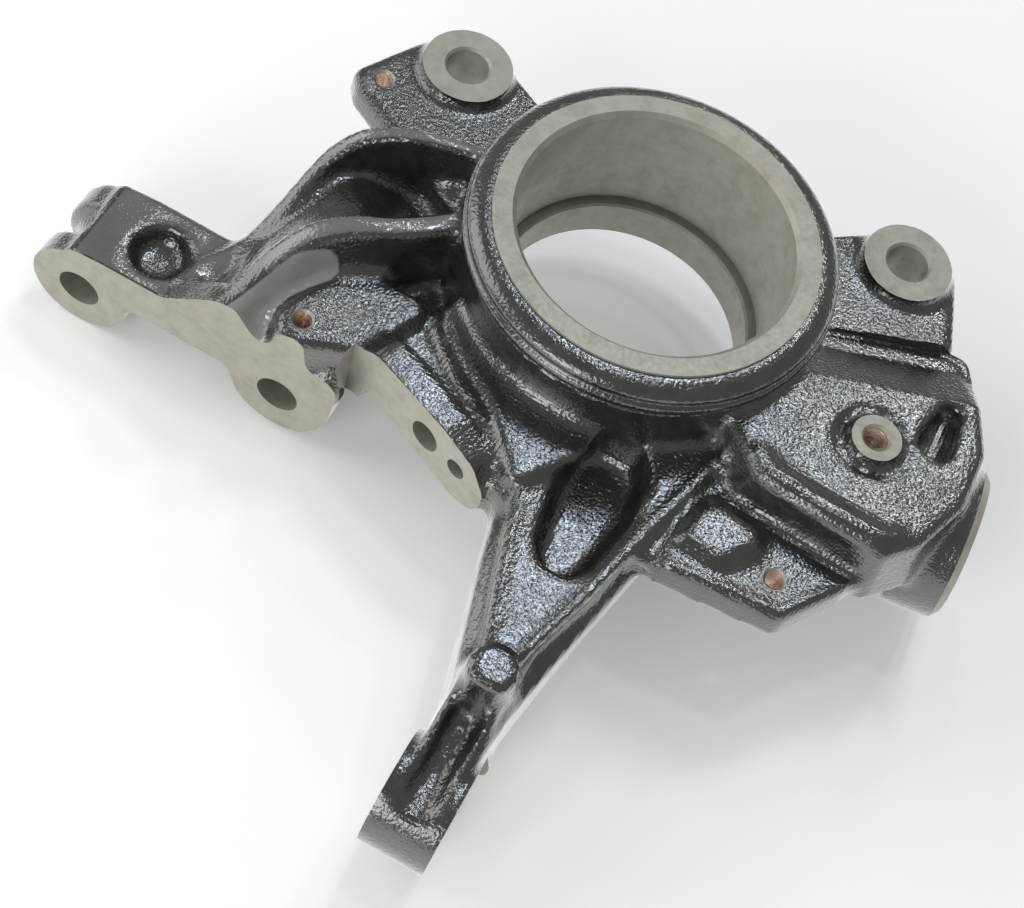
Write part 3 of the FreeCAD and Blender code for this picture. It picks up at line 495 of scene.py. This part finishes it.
# Profiles of the round cuts, as radius and height over the face that they start from.
SEAT_CUT = ((0.02, -40), (35.5, -40), (35.5, -18.6), (36.1, -18), (38.7, -18), (38.7, -16.6),
            (SEAT_RADIUS, -16.6), (SEAT_RADIUS, 18.7), (39.3, RIM), (RING_RADIUS, RIM),
            (RING_RADIUS, 30), (0.02, 30))
BOSS_CUT = ((0.02, -25), (6.1, -25), (6.1, -2.7), (6.8, BOSS_TOP), (13.2, BOSS_TOP), (13.2, 8), (0.02, 8))
SENSOR_CUT = ((0.02, -14), (3.2, -13), (3.2, -1), (4.2, 0), (7.6, 0), (7.6, 10), (0.02, 10))
JOINT_CUT = ((0.02, -36), (9, -32), (9, -1), (10, 0), (19.2, 0), (22.6, -3.2), (26, -3.2), (26, 8),
             (0.02, 8))
STRUT_BOLT_CUT = ((0.02, 36), (6.15, 36), (6.15, 80), (0.02, 80))
EYE_CUT = ((0.02, -12), (7, -12), (7, -9), (6.1, 9), (6.1, 12), (0.02, 12))
# The middle shield screw ends in the lug, the other two go through their ears.
SHIELD_SCREW_DEPTHS = (-26, -14, -26)

cuts = [turned(SEAT_CUT, (0, 0, 0), steps=192)]
cuts += [turned(BOSS_CUT, (x, y, 0)) for x, y in CALIPER_BOSSES]
for spot, deep in zip(SHIELD_SCREWS, SHIELD_SCREW_DEPTHS):
    screw_cut = ((0.02, deep), (2.6, deep), (2.6, -0.7), (3.2, 0), (3.2, 4), (0.02, 4))
    cuts.append(turned(screw_cut, spot, steps=48))
cuts.append(turned(SENSOR_CUT, SENSOR))
cuts.append(turned(JOINT_CUT, JOINT_FACE, JOINT_AXIS))
cuts += [turned(STRUT_BOLT_CUT, (x, 0, z), (0, -1, 0)) for x, z in STRUT_BOLTS]
for spot, radius in bracket_holes:
    cuts.append(turned(((0.02, -18), (radius, -18), (radius, 6), (0.02, 6)), spot, BRACKET_NORMAL, 48))
cuts.append(turned(EYE_CUT, EYE, (1, 0, 0)))

flats = [block((-160, -80, -60), (-48, LUG_FACES[0], 5)), block((-160, LUG_FACES[1], -60), (-52, -38, -27)),
         block((2, -170, -50), (EYE_FACES[0], -134, -10)), block((EYE_FACES[1], -170, -50), (36, -134, -10))]
# The bracket face: along it, out of it and up, from the corner of the face.
bracket_points, bracket_faces = block((-3, 0, -28), (50, 6, 6))
bracket_turn = np.stack((along_bracket, BRACKET_NORMAL, (0, 0, 1)))
flats.append((bracket_points @ bracket_turn + BRACKET_CORNER * MM, bracket_faces[:, ::-1]))

for name, shape in (("round_cuts", joined(cuts)), ("flat_cuts", joined(flats))):
    item = put_mesh(name, *shape)
    item.data.materials.append(bare_iron)
    change = rough.modifiers.new(name, "BOOLEAN")
    change.operation = "DIFFERENCE"
    change.solver = "EXACT"
    change.material_mode = "TRANSFER"
    change.object = item
    rough.data = bpy.data.meshes.new_from_object(rough.evaluated_get(bpy.context.evaluated_depsgraph_get()))
    rough.modifiers.clear()
    bpy.data.objects.remove(item)

# Outline, seen from above, of the relief that is milled between the front rib and the middle pad.
RELIEF = ((-88, -69), (-75.5, -69), (-76.8, -64), (-77.2, -59.5), (-75.7, -56), (-72.8, -51.6),
          (-69, -46.7), (-68.2, -43.7), (-69.7, -42.6), (-72.4, -43.4), (-75.9, -46.2), (-79.4, -50),
          (-82.4, -56.5), (-85.4, -63.5))


def inward(points, outline):
    """Distance of flat points to the sides of an outline, positive inside it and negative outside."""
    start = np.asarray(outline, float)
    side = np.roll(start, -1, 0) - start
    away = points[:, None] - start
    along = np.clip((away * side).sum(2) / (side ** 2).sum(1), 0, 1)
    gap = np.linalg.norm(away - along[..., None] * side, axis=2).min(1)
    rising = (start[:, 1] <= points[:, 1:]) != (start[:, 1] + side[:, 1] <= points[:, 1:])
    cross = start[:, 0] + away[..., 1] * side[:, 0] / np.where(side[:, 1] == 0, 1e-9, side[:, 1])
    inside = ((rising & (points[:, :1] < cross)).sum(1) % 2).astype(bool)
    return np.where(inside, gap, -gap)


# The mask is 1 on the milled relief, where the iron is bare, and a half on the up-facing crests of the ribs
# and the top of the lug, where its light grey is a painted sheen.
points = points_of(rough.data) / MM
normals = np.zeros(len(rough.data.vertices) * 3)
rough.data.vertex_normals.foreach_get("vector", normals)
upward = normals.reshape(-1, 3)[:, 2]
iron_and_sheen_mask = 0.5 + 0.8 * inward(points[:, :2], RELIEF)
iron_and_sheen_mask[(points[:, 2] < -16) | (points[:, 2] > 2) | (upward < -0.2)] = 0
crest = (points[:, 0] < -46) & (points[:, 1] < 18) & (points[:, 1] > -66) & (points[:, 2] > -2.5)
lug_top = (points[:, 0] < -90) & (points[:, 1] < 18) & (points[:, 2] > -21)
# Painted sheen: the up-facing crests of the ribs and the top of the lug are made lighter grey.
iron_and_sheen_mask = np.maximum(iron_and_sheen_mask, 0.5 * crest * np.clip((upward - 0.7) / 0.2, 0, 1))
iron_and_sheen_mask = np.maximum(iron_and_sheen_mask, 0.46 * lug_top * np.clip((upward - 0.8) / 0.15, 0, 1))
layer = rough.data.attributes.new("iron_and_painted_sheen", "FLOAT", "POINT")
layer.data.foreach_set("value", np.clip(iron_and_sheen_mask, 0, 1))
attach(rough, "root")
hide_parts("steering_knuckle")


# The threads of the four tapped holes, cut into the casting with a tap after the painting. They are
# bright clean metal with a warm, coppery shine.
def thread(radius, depth, pitch, place, steps=48):
    """Wall of a tapped hole.

    The point at angle t and height h is place + r(t, h) * (cos t, sin t) + (0, 0, h) with
    r = radius - 0.27 * pitch * (1 - |saw|), where saw runs from -1 to 1 once each pitch, along a
    helix.
    """
    rows = int(depth / pitch * 8) + 1
    h, t = np.meshgrid(np.linspace(-depth, -0.6, rows), np.linspace(0, 2 * np.pi, steps, endpoint=False),
                       indexing="ij")
    saw = 2 * ((h / pitch - t / (2 * np.pi)) % 1) - 1
    r = radius - 0.27 * pitch * (1 - np.abs(saw))
    points = np.stack((r * np.cos(t), r * np.sin(t), h), -1) + place
    i, j = np.meshgrid(np.arange(rows - 1), np.arange(steps), indexing="ij")
    after = (j + 1) % steps
    quads = np.stack((i * steps + j, (i + 1) * steps + j, (i + 1) * steps + after, i * steps + after), -1)
    return points.reshape(-1, 3) * MM, quads.reshape(-1, 4).tolist()


threads = [thread(2.55, depth, 0.8, place) for depth, place in zip((8.8, 13.8, 8.8), SHIELD_SCREWS)]
threads.append(thread(3.15, 12.8, 1.0, SENSOR))
tapped = put_mesh("tapped_threads", *joined(threads))
tapped.data.polygons.foreach_set("use_smooth", np.ones(len(tapped.data.polygons), bool))
fresh_iron, tree, shader, place = nodes_of("fresh_thread")
shader.inputs["Metallic"].default_value = 0.8
shader.inputs["Roughness"].default_value = 0.3
tree.links.new(shaded(tree, noise(tree, place, 420), ((0.35, (0.6, 0.36, 0.24)), (0.6, (0.85, 0.78, 0.7)))),
               shader.inputs["Base Color"])
tapped.data.materials.append(fresh_iron)
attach(tapped, "root")


# The studio: a pale floor that keeps the shadow, soft lamps, and the camera at the angle of the
# photograph. The small lamps stand where the flat tops mirror them towards the camera.
camera_data = bpy.data.cameras.new("camera")
camera_data.lens = 72.04
camera_data.sensor_width = 36
camera = bpy.data.objects.new("camera", camera_data)
bpy.context.scene.collection.objects.link(camera)
camera.matrix_world = Matrix(((0.8714, -0.4861, 0.0661, 0.0302), (0.4448, 0.7261, -0.5243, -0.3404),
                              (0.2069, 0.4863, 0.8490, 0.4382), (0, 0, 0, 1)))
bpy.context.scene.camera = camera
low = cad_box[0][2]
floor = put_mesh("floor", ((-30, -30, low), (30, -30, low), (30, 30, low), (-30, 30, low)), ((0, 1, 2, 3),))
floor_white, tree, shader, place = nodes_of("floor_white")
shader.inputs["Base Color"].default_value = (0.95, 0.95, 0.95, 1)
shader.inputs["Roughness"].default_value = 0.9
shader.inputs["Specular IOR Level"].default_value = 0.1
shader.inputs["Emission Color"].default_value = (1, 1, 1, 1)
rays = tree.nodes.new("ShaderNodeLightPath")
away = tree.nodes.new("ShaderNodeVectorMath")
away.operation = "LENGTH"
tree.links.new(place.outputs["Object"], away.inputs[0])
far = spread(tree, away.outputs["Value"], 0.5, 2.2, 0.0, 0.55)
glow = worked(tree, "ADD", worked(tree, "MULTIPLY", rays.outputs["Is Glossy Ray"], 0.45), 0.16)
glow = worked(tree, "ADD", worked(tree, "MULTIPLY", rays.outputs["Is Camera Ray"], far), glow)
tree.links.new(glow, shader.inputs["Emission Strength"])
floor.data.materials.append(floor_white)


def lamp(name, power, size, place, aim=(0.0, -0.04, 0.0)):
    """A square soft lamp at a place, in metres, turned towards the aim."""
    data = bpy.data.lights.new(name, "AREA")
    data.energy = power
    data.size = size
    item = bpy.data.objects.new(name, data)
    bpy.context.scene.collection.objects.link(item)
    item.location = place
    item.rotation_euler = (Vector(place) - Vector(aim)).to_track_quat("Z", "Y").to_euler()
    return item


for name, power, size, place, colour in (
        ("lamp_panel", 1.85, 0.19, (-0.02, 0.49, 1.0), (0.72, 0.85, 1.0)),
        ("lamp_panel_left", 0.5, 0.1, (-0.36, 0.6, 1.0), (1, 1, 0.96)),
        ("lamp_panel_right", 1.0, 0.1, (0.21, 0.77, 1.0), (1, 1, 0.96)),
        ("lamp_panel_back", 0.6, 0.07, (-0.1, 0.98, 0.75), (1, 1, 0.96)),
        ("lamp_panel_high", 0.6, 0.07, (0.05, 0.15, 1.1), (1, 1, 0.96)),
        ("lamp_left", 7, 1.0, (-1.1, -0.15, 0.6), (1, 1, 0.97)),
        ("lamp_front", 7, 0.7, (-0.3, -1.2, 0.5), (1, 1, 0.97))):
    lamp(name, power, size, place).data.color = colour
world = bpy.data.worlds.new("studio")
bpy.context.scene.world = world
world.use_nodes = True
tree = world.node_tree
surface = tree.nodes["Background"]
rays = tree.nodes.new("ShaderNodeLightPath")
seen = worked(tree, "MAXIMUM", rays.outputs["Is Camera Ray"], rays.outputs["Is Transmission Ray"])
level = worked(tree, "MAXIMUM", seen, worked(tree, "MULTIPLY", rays.outputs["Is Glossy Ray"], 0.35))
surface.inputs["Color"].default_value = (1, 1, 1, 1)
strength = worked(tree, "ADD", level, worked(tree, "MULTIPLY", rays.outputs["Is Diffuse Ray"], 0.3))
tree.links.new(strength, surface.inputs["Strength"])
bpy.context.scene.view_settings.view_transform = "Standard"
